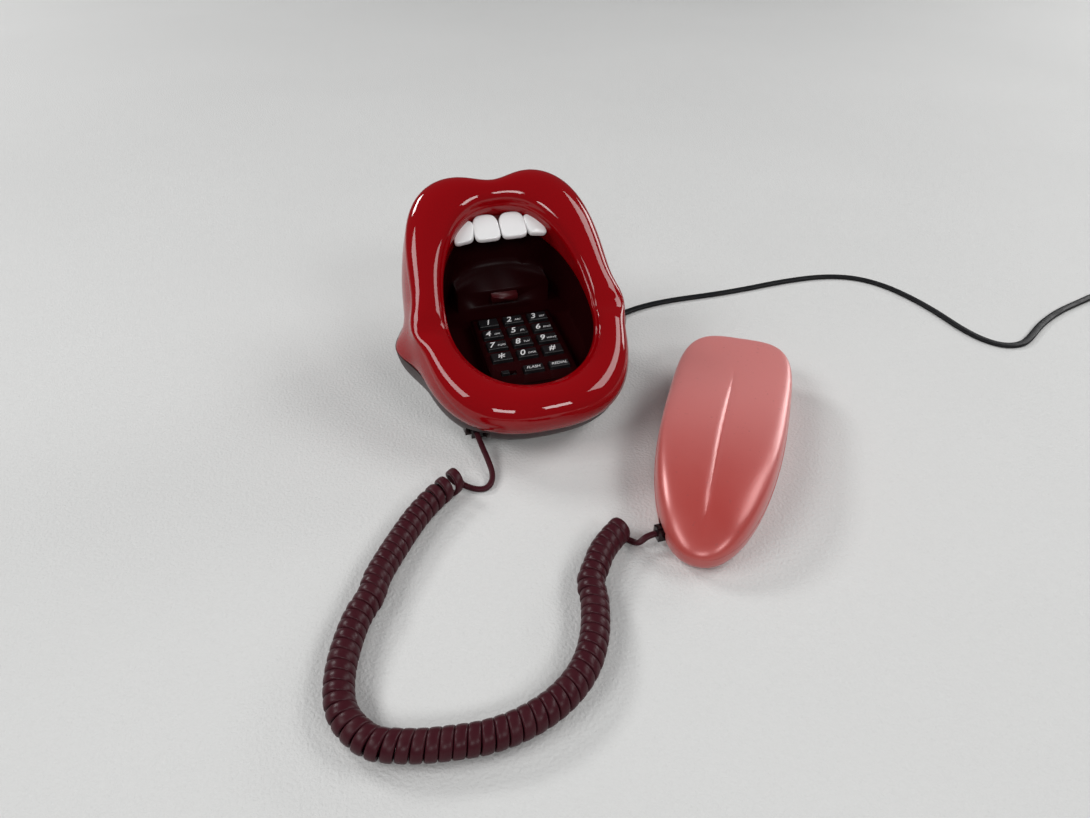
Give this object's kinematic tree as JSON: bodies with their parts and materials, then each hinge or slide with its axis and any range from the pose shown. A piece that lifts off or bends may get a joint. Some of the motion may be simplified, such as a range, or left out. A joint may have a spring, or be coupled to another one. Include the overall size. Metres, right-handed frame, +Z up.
{
  "type": "novelty telephone",
  "caption": "Corded desk telephone with a base shaped as open lips, a keypad inside the mouth and a tongue shaped handset beside it.",
  "frame": {"origin": "on the table, below the middle of the base", "axes": "+Z up, front of the base towards -Y, +X to the right of a person who faces the keypad"},
  "size_m": [0.6566, 0.3224, 0.1181],
  "materials": {
    "lips_red": "deep red, high gloss moulded plastic",
    "tray_dark": "dark brown maroon, satin moulded plastic",
    "liner_dark": "dark maroon moulded plastic",
    "liner_red": "dark red moulded plastic",
    "tooth_white": "white, glossy",
    "key_black": "black satin key plastic",
    "tongue_pink": "pink pearl, soft gloss",
    "cord_maroon": "maroon flexible vinyl",
    "cord_black": "black flexible vinyl",
    "rubber_black": "black rubber",
    "rubber_grey": "grey silicone",
    "board_green": "green circuit board",
    "black_plastic": "black plastic",
    "jack_maroon": "dark maroon plastic",
    "plug_clear": "clear hard plastic",
    "brass_disc": "brass",
    "ballast_steel": "zinc coated steel",
    "screw_steel": "zinc coated steel",
    "capsule_metal": "aluminium can"
  },
  "bodies": {
    "base": {"ballast_plate": "ballast_steel", "base_tray": "tray_dark", "board_screws": "screw_steel", "case_screws": "screw_steel", "cord_base_plug": "plug_clear", "cord_tie": "rubber_black", "curly_cord": "cord_maroon", "handset_jack": "jack_maroon", "hook_switch": "black_plastic", "key_mat": "rubber_grey", "line_cord": "cord_black", "line_cord_coil": "cord_black", "line_cord_grommet": "rubber_black", "line_plug": "plug_clear", "lips_shell": "lips_red", "main_board": "board_green", "mouth_liner": "liner_dark", "ringer_disc": "brass_disc", "rubber_feet": "rubber_black", "upper_teeth": "tooth_white"},
    "handset": {"handset_top": "tongue_pink", "handset_bottom": "tongue_pink", "receiver_capsule": "capsule_metal", "receiver_gasket": "rubber_black", "microphone_capsule": "capsule_metal", "microphone_boot": "rubber_black", "handset_screws": "screw_steel", "handset_cord_jack": "jack_maroon", "cord_handset_plug": "plug_clear"},
    "hook": {"hook_lever": "liner_red"},
    "switch_knob": {"mode_switch_knob": "key_black"},
    "key_1_body": {"key_1": "key_black"},
    "key_2_body": {"key_2": "key_black"},
    "key_3_body": {"key_3": "key_black"},
    "key_4_body": {"key_4": "key_black"},
    "key_5_body": {"key_5": "key_black"},
    "key_6_body": {"key_6": "key_black"},
    "key_7_body": {"key_7": "key_black"},
    "key_8_body": {"key_8": "key_black"},
    "key_9_body": {"key_9": "key_black"},
    "key_star_body": {"key_star": "key_black"},
    "key_0_body": {"key_0": "key_black"},
    "key_hash_body": {"key_hash": "key_black"},
    "flash_key_body": {"flash_key": "key_black"},
    "redial_key_body": {"redial_key": "key_black"}
  },
  "joints": [
    {"name": "key_1_press", "type": "slide", "parent": "base", "child": "key_1_body", "axis": [0, 0.1392, -0.9903], "range_m": [0, 0.0012], "stiffness_N_per_m": 300},
    {"name": "key_2_press", "type": "slide", "parent": "base", "child": "key_2_body", "axis": [0, 0.1392, -0.9903], "range_m": [0, 0.0012], "stiffness_N_per_m": 300},
    {"name": "key_3_press", "type": "slide", "parent": "base", "child": "key_3_body", "axis": [0, 0.1392, -0.9903], "range_m": [0, 0.0012], "stiffness_N_per_m": 300},
    {"name": "key_4_press", "type": "slide", "parent": "base", "child": "key_4_body", "axis": [0, 0.1392, -0.9903], "range_m": [0, 0.0012], "stiffness_N_per_m": 300},
    {"name": "key_5_press", "type": "slide", "parent": "base", "child": "key_5_body", "axis": [0, 0.1392, -0.9903], "range_m": [0, 0.0012], "stiffness_N_per_m": 300},
    {"name": "key_6_press", "type": "slide", "parent": "base", "child": "key_6_body", "axis": [0, 0.1392, -0.9903], "range_m": [0, 0.0012], "stiffness_N_per_m": 300},
    {"name": "key_7_press", "type": "slide", "parent": "base", "child": "key_7_body", "axis": [0, 0.1392, -0.9903], "range_m": [0, 0.0012], "stiffness_N_per_m": 300},
    {"name": "key_8_press", "type": "slide", "parent": "base", "child": "key_8_body", "axis": [0, 0.1392, -0.9903], "range_m": [0, 0.0012], "stiffness_N_per_m": 300},
    {"name": "key_9_press", "type": "slide", "parent": "base", "child": "key_9_body", "axis": [0, 0.1392, -0.9903], "range_m": [0, 0.0012], "stiffness_N_per_m": 300},
    {"name": "key_star_press", "type": "slide", "parent": "base", "child": "key_star_body", "axis": [0, 0.1392, -0.9903], "range_m": [0, 0.0012], "stiffness_N_per_m": 300},
    {"name": "key_0_press", "type": "slide", "parent": "base", "child": "key_0_body", "axis": [0, 0.1392, -0.9903], "range_m": [0, 0.0012], "stiffness_N_per_m": 300},
    {"name": "key_hash_press", "type": "slide", "parent": "base", "child": "key_hash_body", "axis": [0, 0.1392, -0.9903], "range_m": [0, 0.0012], "stiffness_N_per_m": 300},
    {"name": "flash_key_press", "type": "slide", "parent": "base", "child": "flash_key_body", "axis": [0, 0.1392, -0.9903], "range_m": [0, 0.0012], "stiffness_N_per_m": 300},
    {"name": "redial_key_press", "type": "slide", "parent": "base", "child": "redial_key_body", "axis": [0, 0.1392, -0.9903], "range_m": [0, 0.0012], "stiffness_N_per_m": 300},
    {"name": "hook_press", "type": "slide", "parent": "base", "child": "hook", "axis": [0, 0.9903, 0.1392], "range_m": [0, 0.003], "stiffness_N_per_m": 200},
    {"name": "mode_slide", "type": "slide", "parent": "base", "child": "switch_knob", "axis": [1, 0, 0], "range_m": [0, 0.004]},
    {"name": "handset_lift", "type": "slide", "parent": "base", "child": "handset", "axis": [0, 0, 1], "range_m": [0, 0.12]}
  ]
}
